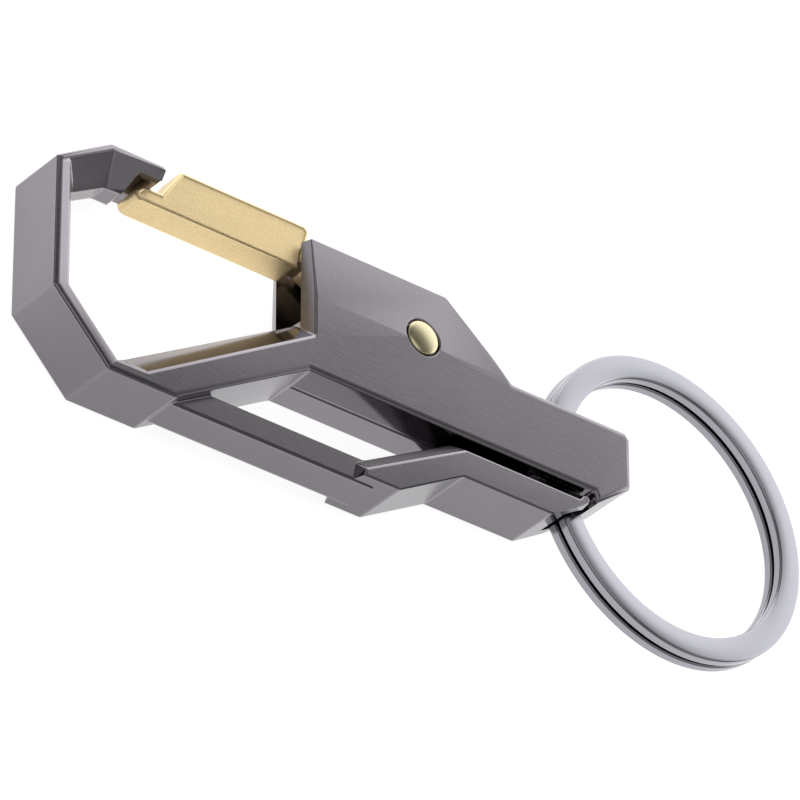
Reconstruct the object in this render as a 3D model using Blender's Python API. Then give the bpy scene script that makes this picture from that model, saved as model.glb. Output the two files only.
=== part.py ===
"""Clip-on key ring: an angular die-cast carabiner with a sprung gate, and a two-turn split ring in its tail.

Lengths are in millimetres and become metres in MM. The drawing's zero is the left end (X), the underside of
the hook (Y) and the back face (Z), so every profile below reads as a side view of the carabiner lying flat.
"""

import math

import bmesh
import bpy
from mathutils import Matrix, Vector

MM = 0.001

# Driving dimensions, in millimetres
THICKNESS = 6.4  # hook and body, back face to front face
ARM_INSET = 0.3  # each face of the lower arm lies this far inside the hook's
LINK_INSET = 1.25  # and each face of the thin link this far
CHEEK = 1.4  # wall on each side of the hollow
BODY_TOP = 22.28
BODY_CREASE = 15.95  # above this line both faces of the body fall away
BODY_FALL_DEG = 4.0
FACET_MARGIN = (1.5, 8)  # where the facet's cutter stops, left and right
BODY_LOW = 8.2
TAIL_TOP = 15.73
TAIL_END = 62.2
HOOK_LEFT = -0.65
HOOK_LOW = -0.4
HOOK_TOP = 22.62
SHOULDER = (0.52, 0.1)  # slight roll-off round both faces: width, depth
PARTING = 0.12  # how far the body's underside swells towards its parting line
PIVOT = (38.9, 16.6)
PIVOT_R = 1.0
PIVOT_CLEARANCE = 0.1
HEAD_R = 1.6
HEAD_SEAT = 0.25  # how deep each head sits in its recess
HEAD_RIM = (0.1, 0.12)  # straight rim of the back and the front head
HEAD_DOME = (0.3, 0.5)  # rise of the back and the front dome
RECESS_R = 1.85
RECESS_DEPTH = 0.7
GATE_GAP = 0.3  # gate to cheek, each side
GATE_LOW = 19.6
GATE_TOP = 24.33
GATE_RIM = 0.28  # chamfer round the gate's faces
GATE_SILL = (0.55, 0.3)  # longer chamfer along its lower edges: along Y, along Z
RING_OUTER_R = 15.2
RING_WIRE_W = 2.42  # across the flat, along the radius
RING_WIRE_T = 0.9  # one coil's thickness
RING_WIRE_EDGE = 0.24
RING_COIL_GAP = 0.44
RING_CENTRE = (69.76, 12.59, 2.34)
RING_NORMAL = (0.049, 0.026, 1)  # the far end of the ring drops towards the surface it lies on
RING_HINGE = (59.0, 8.0)  # foot of the end wall, which the ring swings round
SEAM_DEG = 205.0  # where the ring's wire starts
JOG_DEG = 26.0  # turn over which the wire passes from one coil to the other
SPRING_WIRE = 0.35
SPRING_R = 1.85
SPRING_PITCH = 0.78
SPRING_TURNS = 2.0
SPRING_ROOM = 0.3  # round the coil and above it
SPRING_FLOOR_GAP = 0.12  # between the lowest turn and the gate's pocket
LEG_SLOT = ((-6.6, 0.9), (0.0, 2.4))  # corners about the pivot
OVERCUT = 1.0  # how far a cutter passes the face it cuts

MID = THICKNESS / 2
HOLLOW = (CHEEK, THICKNESS - CHEEK)
END_WALL_X = 58.5
RING_HALF_T = RING_WIRE_T + RING_COIL_GAP / 2
RING_END = RING_CENTRE[0] + RING_OUTER_R + (RING_HALF_T - RING_WIRE_EDGE) * RING_NORMAL[0] - 0.018
DATUM = (-(HOOK_LEFT + RING_END) / 2 * MM, -RING_CENTRE[1] * MM, 0)

# Side profile of hook, bar, body and end wall, before the hook's opening is cut
UPPER_OUTLINE = [
    (HOOK_LEFT, 5.85), (5.25, HOOK_LOW), (12.35, HOOK_LOW), (26.55, BODY_LOW), (58.1, BODY_LOW),
    (END_WALL_X, 7.2), (TAIL_END, 10.05), (TAIL_END, TAIL_TOP - 0.5), (TAIL_END - 0.5, TAIL_TOP),
    (48.9, TAIL_TOP), (41.6, BODY_TOP), (22.0, BODY_TOP), (20.0, HOOK_TOP), (5.0, HOOK_TOP),
    (HOOK_LEFT, 19.1),
]

# Hook opening: its outline on the two faces, and at mid thickness, where the bevels end
OPENING_FACE = [
    (0.95, 6.5), (6.1, 0.75), (9.29, 0.83), (27.05, 11.88), (27.05, 22.3), (10.0, 22.3), (5.25, 21.9),
    (0.75, 19.05),
]
OPENING_MID = [
    (2.4, 7.2), (6.75, 2.15), (7.9, 2.65), (26.45, 13.82), (26.45, 19.5), (10.0, 19.5), (5.85, 19.5),
    (2.4, 17.5),
]
BEVEL_DEPTH = 2.2
BODY_BEVEL_DEPTH = CHEEK

# Gap that the gate closes, between the nose's slanted lip and the body
GAP_FACE = [
    (7.2, 18.6), (8.45, 21.45), (10.8, 21.45), (10.8, 22.2), (10.35, 22.75), (10.35, 24.5), (27.05, 24.5),
    (27.05, 18.6),
]
GAP_MID = GAP_FACE[:-2] + [(26.45, 24.5), (26.45, 18.6)]

# Chamber between the cheeks for the gate's tail, open at the left; slot for the ring, open above and below
CHAMBER_OUTLINE = [
    (25.0, 13.9), (30.5, 13.9), (31.6, 12.6), (43.2, 12.6), (44.6, 14.0), (44.6, 17.78), (41.1, 20.8),
    (28.9, 20.8), (28.9, 24.5), (25.0, 24.5),
]
RING_SLOT = [(52.6, 6.0), (END_WALL_X, 6.0), (END_WALL_X, 17.0), (50.9, 17.0), (50.9, 13.0)]

# Lower arm: a rib and a tail, with bevels along their upper edges
ARM_FACE = [
    (32.65, -0.02), (36.5, -0.02), (43.5, 4.12), (53.4, 4.15), (57.0, 6.42), (57.6, 6.85), (57.78, 7.3),
    (57.5, 7.65), (57.05, 7.55), (56.75, 7.0), (43.9, 7.0), (32.9, 0.77),
]
ARM_MID = [
    (32.3, -0.02), (36.5, -0.02), (43.5, 4.12), (53.4, 4.15), (57.0, 6.42), (57.7, 6.8), (57.95, 7.3),
    (57.7, 7.68), (57.1, 7.7), (56.7, 7.7), (43.0, 7.7), (32.3, 1.66),
]
ARM_BEVEL = 1.05
LINK_LOW = -0.2
LINK_TOP = 2.17
LINK_CHAMFER = (0.22, 0.32)  # along Y, along Z
RING_NOTCH = [(53.5, 9.0), (53.5, 7.3), (54.6, 5.7), (58.6, 5.7), (58.6, 9.0)]

GATE_OUTLINE = [
    (9.25, GATE_LOW), (26.35, GATE_LOW), (27.6, 23.75), (27.15, GATE_TOP), (13.65, GATE_TOP), (11.6, 21.15),
    (9.55, 21.15), (8.75, 20.3),
]
GATE_TAIL_OUTLINE = [
    (24.0, 20.7), (24.0, 22.9), (28.2, 22.9), (28.6, 20.5), (29.3, 20.4), (37.5, 19.15), (41.2, 17.6),
    (41.2, 15.4), (39.3, 13.9), (37.6, 13.9), (35.8, 15.2), (30.7, 18.6), (29.2, 19.4), (27.6, 20.4),
]
GATE_TAIL_INSET = 0.35  # each face of the tail, inside the gate's


def clear_scene():
    for old in list(bpy.data.objects):
        bpy.data.objects.remove(old, do_unlink=True)


def material(name, colour, roughness, metallic):
    made = bpy.data.materials.new(name)
    made.use_nodes = True
    shader = made.node_tree.nodes["Principled BSDF"]
    shader.inputs["Base Color"].default_value = (*colour, 1)
    shader.inputs["Roughness"].default_value = roughness
    shader.inputs["Metallic"].default_value = metallic
    return made


def bent(face):
    first = face.verts[0].co
    return any(abs((vert.co - first).dot(face.normal)) > 1e-7 for vert in face.verts)


def mesh_object(name, verts, faces, origin=(0, 0, 0), finish=None):
    """An object whose mesh, given in drawing millimetres, is stored about its origin."""
    mesh = bpy.data.meshes.new(name)
    home = Vector(origin)
    mesh.from_pydata([(Vector(v) - home) * MM for v in verts], [], faces)
    made = bpy.data.objects.new(name, mesh)
    made.location = home * MM
    bpy.context.collection.objects.link(made)
    work = bmesh.new()
    work.from_mesh(mesh)
    bmesh.ops.recalc_face_normals(work, faces=work.faces)
    bmesh.ops.triangulate(work, faces=[face for face in work.faces if bent(face)])
    work.to_mesh(mesh)
    work.free()
    if finish:
        mesh.materials.append(finish)
    return made


def loft(name, rings, origin=(0, 0, 0), finish=None):
    """A solid through outlines of equal length: rings is a list of (z, outline)."""
    count = len(rings[0][1])
    verts = [(x, y, z) for z, outline in rings for x, y in outline]
    faces = [list(range(count)), [i + count * (len(rings) - 1) for i in range(count)]]
    for layer in range(len(rings) - 1):
        for i in range(count):
            j = (i + 1) % count
            low, high = layer * count, (layer + 1) * count
            faces.append([low + i, low + j, high + j, high + i])
    return mesh_object(name, verts, faces, origin, finish)


def slab(name, outline, low, high, origin=(0, 0, 0), finish=None):
    return loft(name, [(low, outline), (high, outline)], origin, finish)


def turned(name, profile, centre, sides=48, finish=None):
    """A solid of revolution about Z: profile is (radius, z) from the bottom to the top."""
    verts = []
    for radius, z in profile:
        for k in range(sides):
            turn = 2 * math.pi * k / sides
            verts.append((centre[0] + radius * math.cos(turn), centre[1] + radius * math.sin(turn), z))
    last = sides * (len(profile) - 1)
    faces = [list(range(sides)), [last + k for k in range(sides)]]
    for layer in range(len(profile) - 1):
        for k in range(sides):
            n = (k + 1) % sides
            low, high = layer * sides, (layer + 1) * sides
            faces.append([low + k, low + n, high + n, high + k])
    return mesh_object(name, verts, faces, (*centre, 0), finish)


def blend(first, second, share):
    return [(a + (c - a) * share, b + (d - b) * share) for (a, b), (c, d) in zip(first, second)]


def inset(outline, amount):
    """The outline, given anticlockwise, with every side moved inwards."""
    made = []
    for i, here in enumerate(outline):
        before, after = Vector(outline[i - 1]), Vector(outline[(i + 1) % len(outline)])
        here = Vector(here)
        first, second = (here - before).normalized(), (after - here).normalized()
        inward = Vector((-first.y, first.x)) + Vector((-second.y, second.x))
        made.append(tuple(here + inward * (amount / (1 + first.dot(second)))))
    return made


def helper(obj):
    obj.hide_render = True
    obj.display_type = "WIRE"
    return obj


def combine(target, other, operation="DIFFERENCE"):
    modifier = target.modifiers.new(other.name, "BOOLEAN")
    modifier.operation = operation
    modifier.object = helper(other)
    modifier.solver = "EXACT"


def bevelled_cutter(name, face, mid, body_right):
    """A cutter that narrows from both faces; its right side, along body_right, reaches full depth sooner."""
    early = blend(face, mid, BODY_BEVEL_DEPTH / BEVEL_DEPTH)
    early = [(mid[i][0], y) if i in body_right else (x, y) for i, (x, y) in enumerate(early)]
    top = THICKNESS
    return loft(name, [
        (-OVERCUT, face), (0, face), (BODY_BEVEL_DEPTH, early), (BEVEL_DEPTH, mid),
        (top - BEVEL_DEPTH, mid), (top - BODY_BEVEL_DEPTH, early), (top, face), (top + OVERCUT, face),
    ])


def section_cutter(name, section, start, end):
    """A bar along X whose section is given as (y, z)."""
    count = len(section)
    verts = [(x, y, z) for x in (start, end) for y, z in section]
    faces = [list(range(count)), [count + i for i in range(count)]]
    faces += [[i, (i + 1) % count, count + (i + 1) % count, count + i] for i in range(count)]
    return mesh_object(name, verts, faces)


def build_arm():
    low, high = ARM_INSET, THICKNESS - ARM_INSET
    arm = loft("arm_solid", [
        (low, ARM_FACE), (low + ARM_BEVEL, ARM_MID), (high - ARM_BEVEL, ARM_MID), (high, ARM_FACE),
    ])
    notch = slab("ring_notch", RING_NOTCH, *HOLLOW)
    combine(arm, notch)
    drop, depth = LINK_CHAMFER
    link_low, link_high = LINK_INSET, THICKNESS - LINK_INSET
    link_section = [
        (LINK_LOW, link_low + depth), (LINK_LOW, link_high - depth), (LINK_LOW + drop, link_high),
        (LINK_TOP, link_high), (LINK_TOP, link_low), (LINK_LOW + drop, link_low),
    ]
    link = section_cutter("link_solid", link_section, 10.0, 34.5)
    combine(arm, link, "UNION")
    return arm


def build_frame(finish):
    width, depth = SHOULDER
    face = inset(UPPER_OUTLINE, width)
    middle = [(x, y - PARTING) if y == BODY_LOW else (x, y) for x, y in UPPER_OUTLINE]
    frame = loft("hook_frame", [
        (0, face), (depth, UPPER_OUTLINE), (MID, middle), (THICKNESS - depth, UPPER_OUTLINE),
        (THICKNESS, face),
    ], finish=finish)
    combine(frame, bevelled_cutter("hook_opening", OPENING_FACE, OPENING_MID, (3, 4)))
    combine(frame, bevelled_cutter("gate_gap", GAP_FACE, GAP_MID, (6, 7)))
    combine(frame, slab("chamber", CHAMBER_OUTLINE, *HOLLOW))
    combine(frame, slab("ring_slot", RING_SLOT, *HOLLOW))
    for face, way in ((THICKNESS, 1), (0, -1)):
        reach = BODY_TOP + 2 * OVERCUT - BODY_CREASE
        fall = reach * math.tan(math.radians(BODY_FALL_DEG))
        wedge = [
            (BODY_CREASE, face), (BODY_CREASE + reach, face - way * fall),
            (BODY_CREASE + reach, face + way * OVERCUT), (BODY_CREASE, face + way * OVERCUT),
        ]
        combine(frame, section_cutter("body_facet", wedge, OPENING_MID[3][0] - FACET_MARGIN[0],
                                      TAIL_END - FACET_MARGIN[1]))
    hole = PIVOT_R + PIVOT_CLEARANCE
    drill = [
        (RECESS_R, -OVERCUT), (RECESS_R, RECESS_DEPTH), (hole, RECESS_DEPTH),
        (hole, THICKNESS - RECESS_DEPTH), (RECESS_R, THICKNESS - RECESS_DEPTH),
        (RECESS_R, THICKNESS + OVERCUT),
    ]
    combine(frame, turned("pivot_drill", drill, PIVOT))
    combine(frame, build_arm(), "UNION")
    return frame


def spring_low():
    """Height of the spring's lowest turn, at the middle of its wire."""
    return HOLLOW[1] - SPRING_ROOM - SPRING_WIRE / 2 - SPRING_PITCH * SPRING_TURNS


def build_gate(finish):
    low, high = CHEEK + GATE_GAP, THICKNESS - CHEEK - GATE_GAP
    gate = slab("gate", GATE_OUTLINE, low, high, (*PIVOT, MID), finish)
    rim = gate.modifiers.new("rim", "BEVEL")
    rim.width = GATE_RIM * MM
    rim.segments = 2
    rim.limit_method = "ANGLE"
    rim.angle_limit = math.radians(35)
    rise, drop = GATE_SILL
    for face, way in ((high, 1), (low, -1)):
        sill = [
            (GATE_LOW + 2 * rise, face + way * drop), (GATE_LOW - rise, face - way * 2 * drop),
            (GATE_LOW - rise, face + way * OVERCUT), (GATE_LOW + 2 * rise, face + way * OVERCUT),
        ]
        combine(gate, section_cutter("gate_sill", sill, GATE_OUTLINE[-1][0] - OVERCUT, BODY_TOP + 6))
    tail = slab("gate_tail", GATE_TAIL_OUTLINE, low + GATE_TAIL_INSET, high - GATE_TAIL_INSET)
    combine(gate, tail, "UNION")
    floor = spring_low() - SPRING_WIRE / 2 - SPRING_FLOOR_GAP
    reach = SPRING_R + SPRING_WIRE / 2 + SPRING_ROOM
    combine(gate, turned("spring_pocket", [(reach, floor), (reach, high + OVERCUT)], PIVOT))
    (left, bottom), (right, top) = LEG_SLOT
    leg_slot = [(left, bottom), (right, bottom), (right, top), (left, top)]
    leg_slot = [(PIVOT[0] + x, PIVOT[1] + y) for x, y in leg_slot]
    combine(gate, slab("leg_slot", leg_slot, floor, high + OVERCUT))
    hole = PIVOT_R + PIVOT_CLEARANCE
    combine(gate, turned("gate_bore", [(hole, 0), (hole, THICKNESS)], PIVOT))
    return gate


def build_pivot(finish):
    low_head, high_head = RECESS_DEPTH - HEAD_SEAT, THICKNESS - RECESS_DEPTH + HEAD_SEAT
    dome = [(HEAD_R * math.cos(a), math.sin(a)) for a in [math.radians(d) for d in (0, 18, 36, 54, 70, 84)]]
    profile = [(r, low_head - HEAD_RIM[0] - HEAD_DOME[0] * s) for r, s in reversed(dome)]
    profile += [(HEAD_R, low_head), (PIVOT_R, low_head), (PIVOT_R, high_head), (HEAD_R, high_head)]
    profile += [(r, high_head + HEAD_RIM[1] + HEAD_DOME[1] * s) for r, s in dome]
    return turned("gate_pivot", profile, PIVOT, 40, finish)


def sweep(name, stations, origin, finish):
    """A closed tube through stations, each a list of the section's points in order."""
    count = len(stations[0])
    verts = [tuple(p) for station in stations for p in station]
    faces = [list(range(count)), [count * (len(stations) - 1) + i for i in range(count)]]
    for k in range(len(stations) - 1):
        for i in range(count):
            j = (i + 1) % count
            faces.append([k * count + i, k * count + j, (k + 1) * count + j, (k + 1) * count + i])
    return mesh_object(name, verts, faces, origin, finish)


def ring_plane():
    """Takes a point of the flat ring, about its centre, to the drawing."""
    turn = Vector((0, 0, 1)).rotation_difference(Vector(RING_NORMAL))
    return Matrix.Translation(RING_CENTRE) @ turn.to_matrix().to_4x4()


def build_ring(finish):
    layer = (RING_WIRE_T + RING_COIL_GAP) / 2
    front_turn = 356 - JOG_DEG
    full_turn = front_turn + 360
    chamfer = RING_WIRE_EDGE
    half_w, half_t = RING_WIRE_W / 2, RING_WIRE_T / 2
    section = [
        (half_w, half_t - chamfer), (half_w - chamfer, half_t), (-half_w + chamfer, half_t),
        (-half_w, half_t - chamfer), (-half_w, -half_t + chamfer), (-half_w + chamfer, -half_t),
        (half_w - chamfer, -half_t), (half_w, -half_t + chamfer),
    ]
    mean_r = RING_OUTER_R - half_w
    place = ring_plane()
    stations, line = [], []
    steps = 150
    for k in range(steps + 1):
        turn = full_turn * k / steps
        jog = min(max((turn - front_turn) / JOG_DEG, 0), 1)
        height = layer * math.cos(math.pi * jog)
        angle = math.radians(SEAM_DEG + turn)
        out = Vector((math.cos(angle), math.sin(angle), 0))
        line.append((turn, height))
        stations.append([place @ (out * (mean_r + r) + Vector((0, 0, height + t))) for r, t in section])
    gaps = [
        abs(h1 - h2) - RING_WIRE_T for t1, h1 in line for t2, h2 in line
        if abs(t2 - t1 - 360) < full_turn / steps
    ]
    print(f"split_ring: least gap between its coils {min(gaps):.2f} mm")
    hinge = place @ Vector((RING_HINGE[0] - RING_CENTRE[0], RING_HINGE[1] - RING_CENTRE[1], 0))
    ring = sweep("split_ring", stations, hinge, finish)
    return ring


def build_spring(finish):
    """Two turns round the pivot, with a leg under the gate's arm and one up to the hollow's roof."""
    low = spring_low()
    centre = Vector((*PIVOT, 0))
    first, last = math.radians(90), math.radians(90 + 360 * SPRING_TURNS - 30)
    points = [centre + Vector((-6.0, SPRING_R, low)), centre + Vector((-3.0, SPRING_R, low))]
    count = round(10 * SPRING_TURNS)
    coil = []
    for k in range(count + 1):
        angle = first + (last - first) * k / count
        height = low + SPRING_PITCH * SPRING_TURNS * k / count
        coil.append(centre + Vector((SPRING_R * math.cos(angle), SPRING_R * math.sin(angle), height)))
    tangent = Vector((-math.sin(last), math.cos(last), 0))
    points += coil + [coil[-1] + tangent * 1.2]
    turn_gap = min(
        (a - b).length for i, a in enumerate(coil) for b in coil[i + 6:]
    ) - SPRING_WIRE
    print(f"gate_spring: least gap between its turns {turn_gap:.2f} mm")
    curve = bpy.data.curves.new("gate_spring", "CURVE")
    curve.dimensions = "3D"
    curve.bevel_depth = SPRING_WIRE / 2 * MM
    curve.bevel_resolution = 1
    curve.use_fill_caps = True
    spline = curve.splines.new("POLY")
    spline.points.add(len(points) - 1)
    home = Vector((*PIVOT, MID))
    for slot, point in zip(spline.points, points):
        slot.co = (*((point - home) * MM), 1)
    spring = bpy.data.objects.new("gate_spring", curve)
    spring.location = home * MM
    curve.materials.append(finish)
    bpy.context.collection.objects.link(spring)
    return spring


def shade(obj, angle=30):
    if obj.type == "MESH":
        obj.data.shade_smooth()
        obj.data.set_sharp_from_angle(angle=math.radians(angle))


def main():
    clear_scene()
    gunmetal = material("gunmetal", (0.235, 0.22, 0.24), 0.34, 1.0)
    gold = material("satin_gold", (0.8, 0.62, 0.33), 0.36, 1.0)
    brass = material("polished_brass", (0.7, 0.63, 0.36), 0.16, 1.0)
    nickel = material("nickel_steel", (0.62, 0.62, 0.66), 0.2, 1.0)
    spring_steel = material("spring_steel", (0.45, 0.45, 0.47), 0.3, 1.0)

    datum = bpy.data.objects.new("datum", None)
    datum.location = DATUM
    bpy.context.collection.objects.link(datum)
    pieces = [
        build_frame(gunmetal), build_gate(gold), build_pivot(brass), build_spring(spring_steel),
        build_ring(nickel),
    ]
    for obj in bpy.data.objects:
        if obj is not datum:
            obj.parent = datum
    for piece in pieces:
        shade(piece)


main()
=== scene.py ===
import math

import bpy
import bmesh
from mathutils import Matrix, Vector


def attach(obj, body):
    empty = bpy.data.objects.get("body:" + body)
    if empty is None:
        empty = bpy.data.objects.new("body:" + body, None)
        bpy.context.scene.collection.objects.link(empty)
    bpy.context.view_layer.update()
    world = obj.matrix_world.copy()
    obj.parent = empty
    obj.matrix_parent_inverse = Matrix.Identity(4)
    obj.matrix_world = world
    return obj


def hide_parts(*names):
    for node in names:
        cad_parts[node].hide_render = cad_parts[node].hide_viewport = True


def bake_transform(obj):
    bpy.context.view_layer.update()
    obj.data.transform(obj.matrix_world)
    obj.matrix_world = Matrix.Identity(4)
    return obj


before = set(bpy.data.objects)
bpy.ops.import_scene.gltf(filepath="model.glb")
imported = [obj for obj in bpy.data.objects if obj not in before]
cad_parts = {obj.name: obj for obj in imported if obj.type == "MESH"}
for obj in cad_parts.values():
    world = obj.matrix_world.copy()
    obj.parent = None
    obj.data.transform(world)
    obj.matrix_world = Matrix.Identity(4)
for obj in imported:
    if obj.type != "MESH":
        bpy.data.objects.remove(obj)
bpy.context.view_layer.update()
print("frame loaded")

# lengths in the dictionaries are in millimetres, places are the drawing's, angles are in degrees
mm = 0.001
origin = Vector((-42.1676, -12.59, 0)) * mm  # where the drawing's origin lies in the frame
pivot = (38.9, 16.6)  # the axis that the gate turns on


# small helpers

def deselect():
    if bpy.context.object and bpy.context.object.mode != "OBJECT":
        bpy.ops.object.mode_set(mode="OBJECT")
    bpy.ops.object.select_all(action="DESELECT")


def pick(piece):
    deselect()
    piece.select_set(True)
    bpy.context.view_layer.objects.active = piece


cadMesh = {"merge": 0.002, "flat": 0.6}


# a merged copy of a CAD node, ready to be refined
def copyOf(node, name):
    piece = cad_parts[node].copy()
    piece.data = piece.data.copy()
    piece.name = name
    piece.data.name = name
    piece.parent = None
    piece.matrix_world = Matrix()
    bpy.context.collection.objects.link(piece)
    pick(piece)
    bpy.ops.object.mode_set(mode="EDIT")
    bpy.ops.mesh.select_all(action="SELECT")
    bpy.ops.mesh.remove_doubles(threshold=cadMesh["merge"] * mm)
    bpy.ops.mesh.dissolve_limited(angle_limit=math.radians(cadMesh["flat"]))
    bpy.ops.object.mode_set(mode="OBJECT")
    piece.data.materials.clear()
    return piece


def applyAll(piece):
    pick(piece)
    for modifier in list(piece.modifiers):
        bpy.ops.object.modifier_apply(modifier=modifier.name)


def dress(piece, *names):
    for name in names:
        piece.data.materials.append(skins[name])


# how each edge's rounding is chosen
rounding = {
    "samples": 8,  # steps along an edge when the room beside it is measured
    "slant": 1.2,  # an edge that leaves from a corner counts as this many times as far away
    "share": 0.4,  # the part of the room that a rounding may take
    "shallow": 9, "shallowRoom": 1.2,  # an edge that turns less than its look's angle needs this turn and room
    "soft": (3, 5), "softRoom": 3,  # creases that turn so little are only softened
    "level": 0.99,  # a face whose normal has this much of one direction lies square to it
    "rimDepth": 0.4, "rimSlack": 0.05,
}


# how far a point lies from an edge that leaves start in the direction way
def besideEdge(spot, start, way, length):
    away = spot - start
    return (away - way * min(max(way.dot(away), 0), length)).length


# how much room a face leaves beside one of its edges, up to the nearest other edge
def roomBeside(face, edge):
    first, second = (v.co for v in edge.verts)
    length = (second - first).length
    along = (second - first) / length
    room = length
    for other in face.edges:
        if other == edge:
            continue
        shared = [v for v in other.verts if v in edge.verts]
        if shared:
            far = other.other_vert(shared[0]).co - shared[0].co
            room = min(room, (far - along * along.dot(far)).length * rounding["slant"])
            continue
        start, stop = (v.co for v in other.verts)
        run = stop - start
        for step in range(rounding["samples"] + 1):
            share = step / rounding["samples"]
            room = min(room, besideEdge(start.lerp(stop, share), first, along, length),
                       besideEdge(first.lerp(second, share), start, run.normalized(), run.length))
    return room


# an edge on the round rim of the rivet's recess, where the next edges lie almost in line
def onRim(edge, look):
    if "rim" not in look:
        return False
    middle = (edge.verts[0].co + edge.verts[1].co) / 2 - origin
    away = math.hypot(middle.x / mm - pivot[0], middle.y / mm - pivot[1])
    onFace = abs(middle.z / mm - look["thick"] / 2) > look["thick"] / 2 - rounding["rimDepth"]
    return onFace and abs(away - look["rimRadius"]) < rounding["rimSlack"]


# the width of an edge's rounding, or zero to leave it as it is
def roundingOf(edge, look):
    turn = math.degrees(edge.calc_face_angle(0))
    room = min(roomBeside(face, edge) for face in edge.link_faces)
    rise = [abs(face.normal.z) for face in edge.link_faces]
    if "sharp" in look and max(rise) > rounding["level"] and look["sharp"][0] < min(rise) < look["sharp"][1]:
        return 0
    if turn > look["angle"] and onRim(edge, look):
        return look["rim"] * mm
    if turn > look["angle"] or (turn > rounding["shallow"] and room > rounding["shallowRoom"] * mm):
        return min(look["edge"] * mm, room * rounding["share"])
    if rounding["soft"][0] < turn < rounding["soft"][1]:
        if room > rounding["softRoom"] * mm:
            return look["crease"] * mm
        if min(abs(face.normal.y) for face in edge.link_faces) > rounding["level"]:
            return look["parting"] * mm
    return 0


# rounds each edge by its own width, and gives the new faces their own material slot
def roundEdges(piece, look, edgeSlot):
    shape = bmesh.new()
    shape.from_mesh(piece.data)
    layer = shape.edges.layers.float.new("bevel_weight_edge")
    widest = max(look["edge"], look["crease"]) * mm
    for edge in shape.edges:
        if len(edge.link_faces) == 2:
            edge[layer] = roundingOf(edge, look) / widest
    shape.to_mesh(piece.data)
    shape.free()
    bevel = piece.modifiers.new("roundEdges", "BEVEL")
    bevel.width = widest
    bevel.segments = look["segments"]
    bevel.limit_method = "WEIGHT"
    bevel.miter_outer = "MITER_ARC"
    bevel.use_clamp_overlap = False
    bevel.material = edgeSlot
    applyAll(piece)


def smooth(piece, angle):
    pick(piece)
    bpy.ops.object.shade_smooth_by_angle(angle=math.radians(angle))


# keeps the big faces flat, so that only the rounded edges bend the reflection
def flatFaces(piece):
    weighted = piece.modifiers.new("flatFaces", "WEIGHTED_NORMAL")
    weighted.mode = "FACE_AREA"
    weighted.weight = 100
    weighted.keep_sharp = True
    applyAll(piece)


# materials

def newMaterial(name):
    made = bpy.data.materials.new(name)
    made.use_nodes = True
    tree = made.node_tree
    shader = tree.nodes["Principled BSDF"]
    return made, tree, shader


def setShader(shader, colour, roughness, metallic):
    shader.inputs["Base Color"].default_value = (*colour, 1)
    shader.inputs["Roughness"].default_value = roughness
    shader.inputs["Metallic"].default_value = metallic


def mathNode(nodes, kind, operation):
    node = nodes.new(kind)
    node.operation = operation
    return node


def noiseNode(nodes, settings):
    node = nodes.new("ShaderNodeTexNoise")
    for name, value in settings.items():
        node.inputs[name].default_value = value
    return node


# the fine noise is scaled by the stretch instead, in cells to a metre
grainLook = {"fine": {"Scale": 1.0, "Detail": 4.0, "Roughness": 0.6}, "broad": {"Scale": 90.0, "Detail": 2.0},
             "sum": 1.0}  # what the two noises add up to on average


# fine grain: puts out a colour, a roughness and a height
def grainGroup():
    group = bpy.data.node_groups.new("brushedGrain", "ShaderNodeTree")
    face = group.interface
    for name, kind, value in (("Vector", "NodeSocketVector", None), ("Stretch", "NodeSocketVector", (1, 1, 1)),
                              ("Colour", "NodeSocketColor", (0.5, 0.5, 0.5, 1)), ("Shade", "NodeSocketFloat", 0.1),
                              ("Roughness", "NodeSocketFloat", 0.3), ("Spread", "NodeSocketFloat", 0.1)):
        socket = face.new_socket(name=name, in_out="INPUT", socket_type=kind)
        if value is not None:
            socket.default_value = value
    for name, kind in (("Colour", "NodeSocketColor"), ("Roughness", "NodeSocketFloat"), ("Height", "NodeSocketFloat")):
        face.new_socket(name=name, in_out="OUTPUT", socket_type=kind)
    nodes, links = group.nodes, group.links
    enter = nodes.new("NodeGroupInput")
    leave = nodes.new("NodeGroupOutput")
    stretch = mathNode(nodes, "ShaderNodeVectorMath", "MULTIPLY")
    links.new(enter.outputs["Vector"], stretch.inputs[0])
    links.new(enter.outputs["Stretch"], stretch.inputs[1])
    fine = noiseNode(nodes, grainLook["fine"])
    links.new(stretch.outputs[0], fine.inputs["Vector"])
    broad = noiseNode(nodes, grainLook["broad"])
    links.new(enter.outputs["Vector"], broad.inputs["Vector"])
    mixed = mathNode(nodes, "ShaderNodeMath", "ADD")
    links.new(fine.outputs["Fac"], mixed.inputs[0])
    links.new(broad.outputs["Fac"], mixed.inputs[1])
    centred = mathNode(nodes, "ShaderNodeMath", "SUBTRACT")
    centred.inputs[1].default_value = grainLook["sum"]
    links.new(mixed.outputs[0], centred.inputs[0])
    darken = mathNode(nodes, "ShaderNodeMath", "MULTIPLY_ADD")
    darken.inputs[2].default_value = 1.0
    links.new(centred.outputs[0], darken.inputs[0])
    links.new(enter.outputs["Shade"], darken.inputs[1])
    tint = mathNode(nodes, "ShaderNodeVectorMath", "SCALE")
    links.new(enter.outputs["Colour"], tint.inputs[0])
    links.new(darken.outputs[0], tint.inputs["Scale"])
    links.new(tint.outputs[0], leave.inputs["Colour"])
    rough = mathNode(nodes, "ShaderNodeMath", "MULTIPLY_ADD")
    links.new(centred.outputs[0], rough.inputs[0])
    links.new(enter.outputs["Spread"], rough.inputs[1])
    links.new(enter.outputs["Roughness"], rough.inputs[2])
    links.new(rough.outputs[0], leave.inputs["Roughness"])
    links.new(fine.outputs["Fac"], leave.inputs["Height"])
    return group


brushedGrain = grainGroup()


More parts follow.
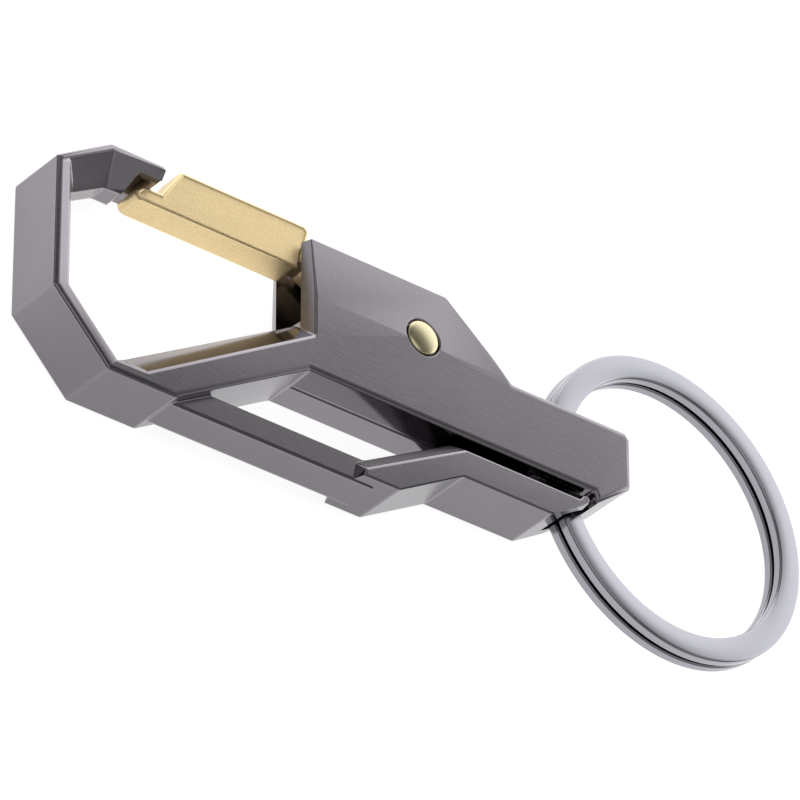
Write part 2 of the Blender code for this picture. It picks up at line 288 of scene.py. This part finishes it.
# painted shade: the plating's colour is made darker towards the bottom of the clip, standing in for the dimmer light
# there
def paintLowShade(tree, place, colour, paintedLowShade):
    parts = tree.nodes.new("ShaderNodeSeparateXYZ")
    rise = tree.nodes.new("ShaderNodeMapRange")
    rise.interpolation_type = "SMOOTHSTEP"
    rise.inputs["From Min"].default_value = paintedLowShade["low"] * mm
    rise.inputs["From Max"].default_value = paintedLowShade["high"] * mm
    rise.inputs["To Min"].default_value = paintedLowShade["shade"]
    rise.inputs["To Max"].default_value = 1.0
    tint = mathNode(tree.nodes, "ShaderNodeVectorMath", "SCALE")
    tree.links.new(place.outputs["Object"], parts.inputs[0])
    tree.links.new(parts.outputs["Y"], rise.inputs["Value"])
    tree.links.new(colour, tint.inputs[0])
    tree.links.new(rise.outputs["Result"], tint.inputs["Scale"])
    return tint.outputs[0]


grainHeight = 0.02


def metal(name, look):
    made, tree, shader = newMaterial(name)
    setShader(shader, look["colour"], look["roughness"], 1.0)
    place = tree.nodes.new("ShaderNodeTexCoord")
    grain = tree.nodes.new("ShaderNodeGroup")
    grain.node_tree = brushedGrain
    grain.inputs["Stretch"].default_value = look["stretch"]
    grain.inputs["Colour"].default_value = (*look["colour"], 1)
    grain.inputs["Shade"].default_value = look["shade"]
    grain.inputs["Roughness"].default_value = look["roughness"]
    grain.inputs["Spread"].default_value = look["spread"]
    tree.links.new(place.outputs["Object"], grain.inputs["Vector"])
    colour = grain.outputs["Colour"]
    # painted shade towards the bottom, where the look asks for it
    if "paintedLowShade" in look:
        colour = paintLowShade(tree, place, colour, look["paintedLowShade"])
    tree.links.new(colour, shader.inputs["Base Color"])
    tree.links.new(grain.outputs["Roughness"], shader.inputs["Roughness"])
    bump = tree.nodes.new("ShaderNodeBump")
    bump.inputs["Strength"].default_value = look["bump"]
    bump.inputs["Distance"].default_value = grainHeight * mm
    tree.links.new(grain.outputs["Height"], bump.inputs["Height"])
    tree.links.new(bump.outputs["Normal"], shader.inputs["Normal"])
    return made


gunmetal = {
    "colour": (0.255, 0.238, 0.26), "roughness": 0.21, "stretch": (900, 6000, 6000), "shade": 0.1,
    # the last entry paints shade: the colour darkens towards the bottom of the clip
    "spread": 0.1, "bump": 0.25, "paintedLowShade": {"low": -12.5, "high": -3, "shade": 0.76},
}
gunmetalSmooth = dict(gunmetal, roughness=0.1, shade=0.05, bump=0.1)
satinGold = {
    "colour": (0.82, 0.655, 0.37), "roughness": 0.46, "stretch": (4500, 4500, 4500), "shade": 0.6,
    "spread": 0.25, "bump": 0.6,
}
finishes = {
    "gunmetal": gunmetal,
    "gunmetalEdge": dict(gunmetal, colour=(0.29, 0.27, 0.295), roughness=0.17, shade=0.05),
    "gunmetalSmooth": gunmetalSmooth,
    # painted shade: a darker copy of the smooth gunmetal for faces under the front cheek
    "gunmetalPaintedShadeCheek": dict(gunmetalSmooth, colour=(0.165, 0.152, 0.165)),
    # rougher gunmetal with a lighter colour: the roughness is the finish, the lighter colour is painted light
    "gunmetalRoughPaintedLight": dict(gunmetal, colour=(0.36, 0.335, 0.365), roughness=0.55, bump=0.4),
    # painted shade: a near-black gunmetal for thin shade lines in creases
    "gunmetalPaintedShadeLine": dict(gunmetal, colour=(0.06, 0.055, 0.06), roughness=0.4),
    "satinGold": satinGold,
    "goldEdge": dict(satinGold, colour=(0.86, 0.7, 0.41), roughness=0.34, shade=0.1),
    "polishedBrass": {
        "colour": (0.59, 0.53, 0.345), "roughness": 0.24, "stretch": (4000, 4000, 4000), "shade": 0.08,
        "spread": 0.06, "bump": 0.1,
    },
    "nickelSteel": {
        "colour": (0.34, 0.34, 0.375), "roughness": 0.13, "stretch": (5000, 5000, 5000), "shade": 0.08,
        "spread": 0.08, "bump": 0.12,
    },
    "springSteel": {
        "colour": (0.45, 0.45, 0.47), "roughness": 0.28, "stretch": (3000, 3000, 3000), "shade": 0.08,
        "spread": 0.06, "bump": 0.1,
    },
}
skins = {name: metal(name, look) for name, look in finishes.items()}
print("materials made")


# camera, placed in metres

camera = {"place": (-0.36285, -0.38397, 0.46234), "right": (0.7874, 0, 0.6164), "up": (-0.3384, 0.8358, 0.4323),
          "sensor": 36, "lens": 360, "near": 0.05, "far": 20}


def addCamera():
    right = Vector(camera["right"]).normalized()
    up = Vector(camera["up"])
    up = (up - right * up.dot(right)).normalized()
    back = right.cross(up)
    turn = Matrix((right, up, back)).transposed().to_4x4()
    bpy.ops.object.camera_add()
    made = bpy.context.object
    made.name = "photoCamera"
    made.matrix_world = Matrix.Translation(camera["place"]) @ turn
    made.data.sensor_width = camera["sensor"]
    made.data.lens = camera["lens"]
    made.data.clip_start = camera["near"]
    made.data.clip_end = camera["far"]
    bpy.context.scene.camera = made


addCamera()


# the casting

# "corners" and "rounded" give some faces a finish of their own, some with painted shade or painted light, before and
# after the edges are rounded: by place (x, y, z) and by the way they face (nx, ny, nz); a limit of 2 or 9, of either
# sign, leaves that side open
casting = {
    "thick": 6.4, "edge": 0.22, "crease": 0.5, "parting": 0.3, "segments": 4, "angle": 20,
    "rim": 0.13, "rimRadius": 1.85,
    # corners of the opening, the points across the strip from them, and how far each corner is sunk
    "stripEnds": (((6.1, 0.75), (5.46, 0.12), 0.0), ((0.95, 6.5), (-0.13, 6.06), 0.2),
                  ((0.75, 19.05), (-0.13, 18.81), 0.2), ((5.25, 21.9), (5.16, 22.1), 0.0)),
    "skins": ("gunmetal", "gunmetalEdge", "gunmetalSmooth", "gunmetalPaintedShadeCheek", "gunmetalRoughPaintedLight", "gunmetalPaintedShadeLine"),
    "corners": (
        ("gunmetalSmooth", {"x": (5, 26), "y": (2.5, 14), "ny": (0.3, 2), "nz": (-0.9, 0.9)}),  # in the opening
        ("gunmetalSmooth", {"y": (6, 10), "ny": (-2, -0.9)}),  # in the window
        # painted shade: the window faces under the front cheek get the darker colour
        ("gunmetalPaintedShadeCheek", {"y": (6, 10), "z": (3.3, 9), "ny": (-2, -0.9)}),  # there, under the front cheek
        # the rib's upper bevel: rougher, and painted lighter to stand in for the light it catches
        ("gunmetalRoughPaintedLight", {"x": (30, 43), "y": (-9, 8), "z": (4, 9),
                           "nx": (-2, -0.3), "ny": (0.5, 2), "nz": (0.6, 2)}),  # the rib's upper bevel
    ),
    "rounded": (
        # painted shade lines: the dark strips in the parting-line crease and in the rib's lower crease
        ("gunmetalPaintedShadeLine", {"y": (7.5, 9), "ny": (-2, -0.999), "nz": (-0.022, 0.022)}),  # the parting line
        ("gunmetalPaintedShadeLine", {"y": (-9, 4.6), "z": (5.6, 9),
                          "nx": (0.2, 2), "ny": (-2, -0.3), "nz": (0.35, 0.9)}),  # the rib's lower crease
    ),
}


def nearestVert(shape, place, height):
    spot = origin + Vector((*place, height)) * mm
    return min(shape.verts, key=lambda v: (v.co - spot).length)


# on both faces, the strip left of the opening falls towards it: the faces are split at the opening's
# corners, and the two left corners are sunk
def tiltStrips(piece):
    shape = bmesh.new()
    shape.from_mesh(piece.data)
    for height, way in ((casting["thick"], 1), (0, -1)):
        for inner, outer, sink in casting["stripEnds"]:
            first, second = nearestVert(shape, inner, height), nearestVert(shape, outer, height)
            shared = [face for face in first.link_faces if face in second.link_faces]
            if shared and shape.edges.get((first, second)) is None:
                bmesh.utils.face_split(shared[0], first, second)
            first.co.z -= way * sink * mm
    shape.to_mesh(piece.data)
    shape.free()


def slotByPlace(piece, patches):
    for face in piece.data.polygons:
        spot = [(face.center[axis] - origin[axis]) / mm for axis in range(3)]
        found = dict(zip(("x", "y", "z", "nx", "ny", "nz"), (*spot, *face.normal)))
        for skin, limits in patches:
            if all(low < found[key] < high for key, (low, high) in limits.items()):
                face.material_index = casting["skins"].index(skin)


def addCasting():
    hookFrame = copyOf("hook_frame", "hookCasting")
    tiltStrips(hookFrame)
    dress(hookFrame, *casting["skins"])
    for face in hookFrame.data.polygons:
        face.material_index = 0
    slotByPlace(hookFrame, casting["corners"])
    roundEdges(hookFrame, casting, casting["skins"].index("gunmetalEdge"))
    for vert in hookFrame.data.vertices:  # the rounding pushes a few corners a hair past the faces
        vert.co.z = min(max(vert.co.z, 0), casting["thick"] * mm)
    slotByPlace(hookFrame, casting["rounded"])
    smooth(hookFrame, 40)
    flatFaces(hookFrame)
    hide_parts("hook_frame")
    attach(hookFrame, "carabiner")
    print("casting", len(hookFrame.data.polygons))


addCasting()


# the gate: the chamfer under each face is wide by rise, and sillShift narrows it
gateLook = {"front": 4.7, "back": 1.7, "low": 19.6, "wide": 0.55, "rise": 0.3, "sillShift": (0.33, 0.14),
            "panelLeast": 20, "panelRim": 0.2, "panelDepth": 0.12, "panelSill": 0.02,
            "onFace": 0.1, "onEdge": 0.03, "beside": 0.04,
            "edge": 0.07, "crease": 0.07, "parting": 0.05, "segments": 3, "angle": 20, "sharp": (0.72, 0.95)}


# each face of the gate is a panel sunk a hair inside its rim, level with the sill along its lower edge
def sinkPanel(piece):
    look = gateLook
    pick(piece)
    bpy.ops.object.mode_set(mode="EDIT")
    for level in (look["front"], look["back"]):
        shape = bmesh.from_edit_mesh(piece.data)
        for face in shape.faces:
            height = face.calc_center_median().z
            flat = abs(face.normal.z) > rounding["level"] and abs(height - level * mm) < look["onFace"] * mm
            face.select = flat and face.calc_area() > look["panelLeast"] * mm * mm
        bmesh.update_edit_mesh(piece.data)
        bpy.ops.mesh.inset(thickness=look["panelRim"] * mm, depth=-look["panelDepth"] * mm)
        shape = bmesh.from_edit_mesh(piece.data)
        for vert in shape.verts:
            if vert.select and (vert.co.y - origin.y) / mm < look["low"] + look["wide"]:
                vert.co.z = level * mm
                vert.co.y -= (look["panelRim"] - look["panelSill"]) * mm
        bmesh.update_edit_mesh(piece.data)
    bpy.ops.object.mode_set(mode="OBJECT")


# the chamfer under each face of the gate is narrowed by moving its two edges
def narrowSill(piece):
    look = gateLook
    shape = bmesh.new()
    shape.from_mesh(piece.data)
    for vert in shape.verts:
        fromLow = (vert.co.y - origin.y) / mm - look["low"]
        height = vert.co.z / mm
        for level, way in ((look["front"], 1), (look["back"], -1)):
            fromFace = height - level
            if abs(fromFace) < look["onEdge"] and abs(fromLow - look["wide"]) < look["beside"]:
                vert.co.y -= look["sillShift"][0] * mm
            elif abs(fromLow) < look["onEdge"] and abs(fromFace + way * look["rise"]) < look["beside"]:
                vert.co.z += way * look["sillShift"][1] * mm
    shape.to_mesh(piece.data)
    shape.free()


def addGate():
    gate = copyOf("gate", "goldGate")
    dress(gate, "satinGold", "goldEdge")
    for face in gate.data.polygons:
        face.material_index = 0
    narrowSill(gate)
    sinkPanel(gate)
    roundEdges(gate, gateLook, 1)
    smooth(gate, 40)
    flatFaces(gate)
    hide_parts("gate")
    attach(gate, "gate")
    print("gate", len(gate.data.polygons))


addGate()


# the outline that a flat wire is swept along: a rectangle with rounded corners
def flatSection(section):
    bpy.ops.mesh.primitive_plane_add(size=1)
    profile = bpy.context.object
    profile.scale = (section["across"] * mm, section["thick"] * mm, 1)
    bpy.ops.object.transform_apply(location=False, rotation=False, scale=True)
    bpy.ops.object.mode_set(mode="EDIT")
    bpy.ops.mesh.select_all(action="SELECT")
    bpy.ops.mesh.bevel(offset=section["corner"] * mm, segments=5, affect="VERTICES")
    bpy.ops.mesh.delete(type="ONLY_FACE")
    bpy.ops.object.mode_set(mode="OBJECT")
    bpy.ops.object.convert(target="CURVE")
    return bpy.context.object


# a wire along points, with a flat or a round section, made a closed mesh
def wire(name, points, section, skin):
    deselect()
    path = bpy.data.curves.new(name, "CURVE")
    path.dimensions = "3D"
    path.twist_mode = "Z_UP"
    path.use_fill_caps = True
    profile = None if "round" in section else flatSection(section)
    if profile:
        path.bevel_mode = "OBJECT"
        path.bevel_object = profile
    else:
        path.bevel_depth = section["round"] / 2 * mm
        path.bevel_resolution = 4
    spline = path.splines.new("POLY")
    spline.points.add(len(points) - 1)
    for slot, point in zip(spline.points, points):
        slot.co = (*(point * mm), 1)
    piece = bpy.data.objects.new(name, path)
    bpy.context.collection.objects.link(piece)
    pick(piece)
    bpy.ops.object.convert(target="MESH")
    piece = bpy.context.object
    if profile:
        bpy.data.objects.remove(profile, do_unlink=True)
    pick(piece)
    bpy.ops.object.mode_set(mode="EDIT")
    bpy.ops.mesh.select_all(action="SELECT")
    bpy.ops.mesh.remove_doubles(threshold=0.001 * mm)
    bpy.ops.mesh.normals_make_consistent(inside=False)
    bpy.ops.object.mode_set(mode="OBJECT")
    piece.data.materials.clear()
    dress(piece, skin)
    return piece


def setPlace(piece, turn):
    piece.matrix_world = turn
    pick(piece)
    bpy.ops.object.transform_apply(location=True, rotation=True, scale=True)


# the split ring: one flat wire, nearly a full turn in front, a short step, and a full turn behind
ringLook = {"outer": 15.19, "across": 2.42, "thick": 0.98, "corner": 0.24, "gap": 0.28, "centre": (69.76, 12.59, 2.34),
            "normal": (0.049, 0.026, 1), "start": 205, "frontTurn": 330, "step": 26, "stations": 460}


def addRing():
    look = ringLook
    layer = (look["thick"] + look["gap"]) / 2
    whole = look["frontTurn"] + 360
    middle = look["outer"] - look["across"] / 2
    points = []
    for station in range(look["stations"] + 1):
        turned = whole * station / look["stations"]
        step = min(max((turned - look["frontTurn"]) / look["step"], 0), 1)
        angle = math.radians(look["start"] + turned)
        points.append(Vector((middle * math.cos(angle), middle * math.sin(angle), layer * math.cos(math.pi * step))))
    ring = wire("twoTurnRing", points, look, "nickelSteel")
    tilt = Vector((0, 0, 1)).rotation_difference(Vector(look["normal"])).to_matrix().to_4x4()
    setPlace(ring, Matrix.Translation(origin + Vector(look["centre"]) * mm) @ tilt)
    smooth(ring, 35)
    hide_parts("split_ring")
    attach(ring, "ring")
    print("ring", len(ring.data.polygons))


addRing()


# the rivet: a turned shank with a domed head at each end, given as radius and height
rivetLook = {"sides": 96,
             "profile": ((0.15, 0.05), (0.7, 0.075), (1.15, 0.16), (1.42, 0.25), (1.55, 0.33), (1.6, 0.41), (1.6, 0.45),
                         (1.0, 0.45), (1.0, 5.95), (1.64, 5.95), (1.66, 6.02), (1.66, 6.26), (1.635, 6.32),
                         (1.57, 6.37), (1.46, 6.415), (1.3, 6.455), (1.1, 6.49), (0.85, 6.52), (0.6, 6.542),
                         (0.35, 6.556), (0.12, 6.563))}


# an extrusion leaves its points and faces in an order that changes from run to run
def sortMesh(piece):
    def placeOf(element):
        return sorted(tuple(vert.co) for vert in getattr(element, "verts", (element,)))
    shape = bmesh.new()
    shape.from_mesh(piece.data)
    for elements in (shape.verts, shape.edges, shape.faces):
        ranks = {element: rank for rank, element in enumerate(sorted(elements, key=placeOf))}
        elements.sort(key=ranks.get)
    shape.to_mesh(piece.data)
    shape.free()


def addRivet():
    deselect()
    x, y = (origin.x + pivot[0] * mm, origin.y + pivot[1] * mm)
    (radius, rise), *others = rivetLook["profile"]
    bpy.ops.mesh.primitive_circle_add(vertices=rivetLook["sides"], radius=radius * mm, fill_type="NGON",
                                      location=(x, y, origin.z + rise * mm))
    rivet = bpy.context.object
    rivet.name = "domedRivet"
    bpy.ops.object.mode_set(mode="EDIT")
    bpy.ops.mesh.select_all(action="SELECT")
    for nextRadius, nextRise in others:
        bpy.ops.mesh.extrude_region_move(TRANSFORM_OT_translate={"value": (0, 0, (nextRise - rise) * mm)})
        ratio = nextRadius / radius
        if ratio != 1:
            bpy.ops.transform.resize(value=(ratio, ratio, 1), center_override=(x, y, origin.z + nextRise * mm))
        radius, rise = nextRadius, nextRise
    bpy.ops.mesh.select_all(action="SELECT")
    bpy.ops.mesh.normals_make_consistent(inside=False)
    bpy.ops.object.mode_set(mode="OBJECT")
    sortMesh(rivet)
    dress(rivet, "polishedBrass")
    setPlace(rivet, rivet.matrix_world.copy())
    smooth(rivet, 50)
    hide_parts("gate_pivot")
    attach(rivet, "carabiner")
    print("rivet", len(rivet.data.polygons))


addRivet()


# the hidden torsion spring: two turns round the rivet, a leg into the gate and a short leg in the body
springLook = {"wire": 0.35, "radius": 1.85, "pitch": 0.78, "turns": 2, "low": 2.965, "stations": 96,
              "start": 90, "short": 30, "gateLeg": (-6, -3), "bodyLeg": 1.2}


def addSpring():
    look = springLook
    home = Vector((*pivot, 0))
    first, last = math.radians(look["start"]), math.radians(look["start"] + 360 * look["turns"] - look["short"])
    points = [home + Vector((reach, look["radius"], look["low"])) for reach in look["gateLeg"]]
    for station in range(look["stations"] + 1):
        share = station / look["stations"]
        angle = first + (last - first) * share
        points.append(home + Vector((look["radius"] * math.cos(angle), look["radius"] * math.sin(angle),
                                     look["low"] + look["pitch"] * look["turns"] * share)))
    points.append(points[-1] + Vector((-math.sin(last), math.cos(last), 0)) * look["bodyLeg"])
    spring = wire("torsionSpring", points, {"round": look["wire"]}, "springSteel")
    setPlace(spring, Matrix.Translation(origin))
    smooth(spring, 60)
    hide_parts("gate_spring")
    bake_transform(spring)
    print("spring", len(spring.data.polygons))


addSpring()


# floor and light

# the levels are given as height in the sky and brightness there; the floor's size and drop are in metres
studio = {"floorSize": 4, "floorDrop": 0.0002, "floorGlow": 0.85, "floorShade": 0.6, "floorRoughness": 0.9,
          "floorSheen": 0.1, "brightSide": (0.6, 0.8, 0), "sideEdge": (0.4, 0.68),
          "otherSides": ((0.0, 0.22), (0.52, 0.24), (0.56, 0.5), (0.72, 0.5), (0.8, 0.14), (0.92, 0.14),
                         (0.96, 0.9), (1.0, 1.0)),
          "sky": ((0.0, 1.9), (0.45, 1.85), (0.56, 1.7), (0.61, 1.15), (0.66, 0.55), (0.71, 0.24), (0.85, 0.12),
                  (0.92, 0.14), (0.96, 0.9), (1.0, 1.0))}


def addFloor():
    deselect()
    bpy.ops.mesh.primitive_plane_add(size=studio["floorSize"], location=(0, 0, -studio["floorDrop"]))
    floor = bpy.context.object
    floor.name = "floor"
    made, tree, shader = newMaterial("paleFloor")
    setShader(shader, (studio["floorShade"],) * 3, studio["floorRoughness"], 0.0)
    shader.inputs["Specular IOR Level"].default_value = studio["floorSheen"]
    shader.inputs["Emission Color"].default_value = (1, 1, 1, 1)
    shader.inputs["Emission Strength"].default_value = studio["floorGlow"]
    floor.data.materials.append(made)


# brightness by height; the places are all set before the colours, because a ramp sorts its stops
def levelRamp(nodes, levels, top):
    ramp = nodes.new("ShaderNodeValToRGB")
    stops = ramp.color_ramp.elements
    while len(stops) < len(levels):
        stops.new(0.5)
    for stop, (rise, level) in zip(stops, levels):
        stop.position = rise
    for stop, (rise, level) in zip(stops, levels):
        stop.color = (level / top, level / top, level / top, 1)
    return ramp


# one bright side behind the clip, dimmer sides elsewhere, and a dark band overhead
def addSky():
    world = bpy.data.worlds.new("studio")
    bpy.context.scene.world = world
    world.use_nodes = True
    nodes, links = world.node_tree.nodes, world.node_tree.links
    shade = nodes["Background"]
    place = nodes.new("ShaderNodeTexCoord")
    parts = nodes.new("ShaderNodeSeparateXYZ")
    links.new(place.outputs["Generated"], parts.inputs[0])
    top = max(level for rise, level in studio["sky"])
    bright = levelRamp(nodes, studio["sky"], top)
    dim = levelRamp(nodes, studio["otherSides"], top)
    side = mathNode(nodes, "ShaderNodeVectorMath", "DOT_PRODUCT")
    side.inputs[1].default_value = studio["brightSide"]
    links.new(place.outputs["Generated"], side.inputs[0])
    lit = nodes.new("ShaderNodeMapRange")
    lit.interpolation_type = "SMOOTHSTEP"
    lit.inputs["From Min"].default_value = studio["sideEdge"][0]
    lit.inputs["From Max"].default_value = studio["sideEdge"][1]
    blend = nodes.new("ShaderNodeMix")
    blend.data_type = "RGBA"
    for ramp, socket in ((dim, 6), (bright, 7)):  # sockets 6 and 7 are the colours A and B
        links.new(parts.outputs["Z"], ramp.inputs["Fac"])
        links.new(ramp.outputs["Color"], blend.inputs[socket])
    links.new(side.outputs["Value"], lit.inputs["Value"])
    links.new(lit.outputs["Result"], blend.inputs[0])
    links.new(blend.outputs[2], shade.inputs["Color"])
    shade.inputs["Strength"].default_value = top


addFloor()
addSky()
bpy.context.scene.view_settings.view_transform = "Standard"
print("stage set")
